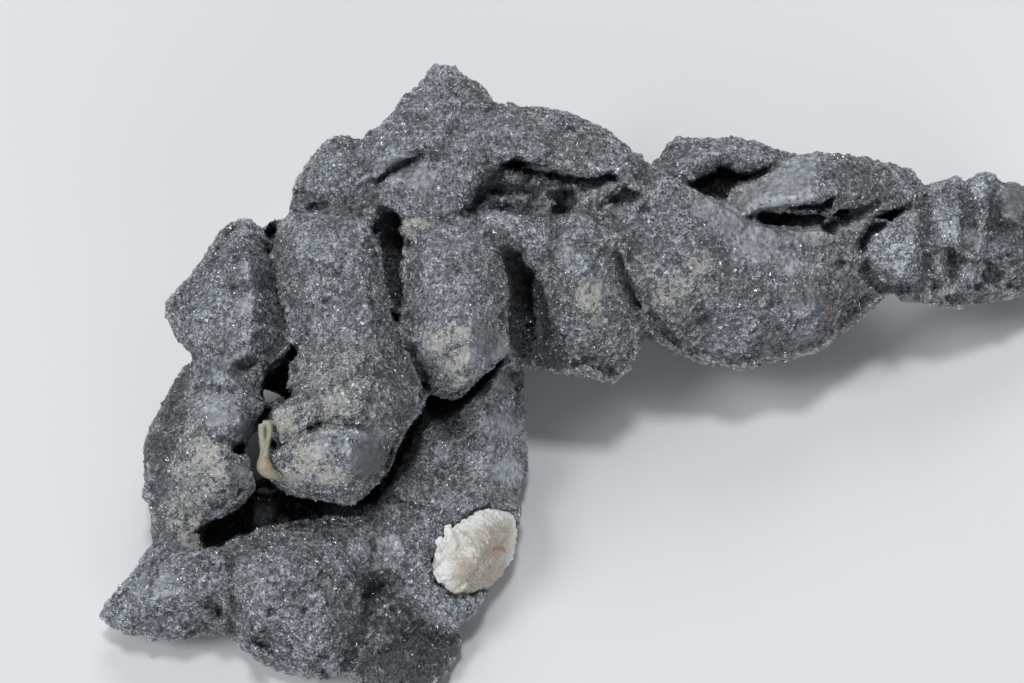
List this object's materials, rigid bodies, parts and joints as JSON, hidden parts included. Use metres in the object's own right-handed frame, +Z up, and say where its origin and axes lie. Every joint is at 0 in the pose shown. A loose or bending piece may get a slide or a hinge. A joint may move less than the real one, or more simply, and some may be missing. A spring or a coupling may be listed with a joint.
{
  "type": "mineral specimen",
  "caption": "Branching hematite specimen: lobed, faceted grey mass with a drusy crust, deep clefts and a long ribbed arm, a white nodule and a pale strand; it rests on flats underneath.",
  "frame": {"origin": "on the ground, below the middle of the specimen's outline seen from above", "axes": "+X along the long arm, towards its broken, ribbed end; +Y towards the pointed peak of the hood at the back; +Z up, with the specimen resting on its three flats at Z = 0"},
  "size_m": [0.1279, 0.0803, 0.0359],
  "materials": {
    "hematite": "sparkling, fine-grained crust of small metallic plates, steel grey with a blue cast",
    "nodule": "chalky white crust round a smoother tan dome",
    "strand": "waxy, translucent cream"
  },
  "bodies": {
    "root": {"hematite_mass": "hematite", "white_nodule": "nodule", "pale_strand": "strand"}
  },
  "joints": []
}
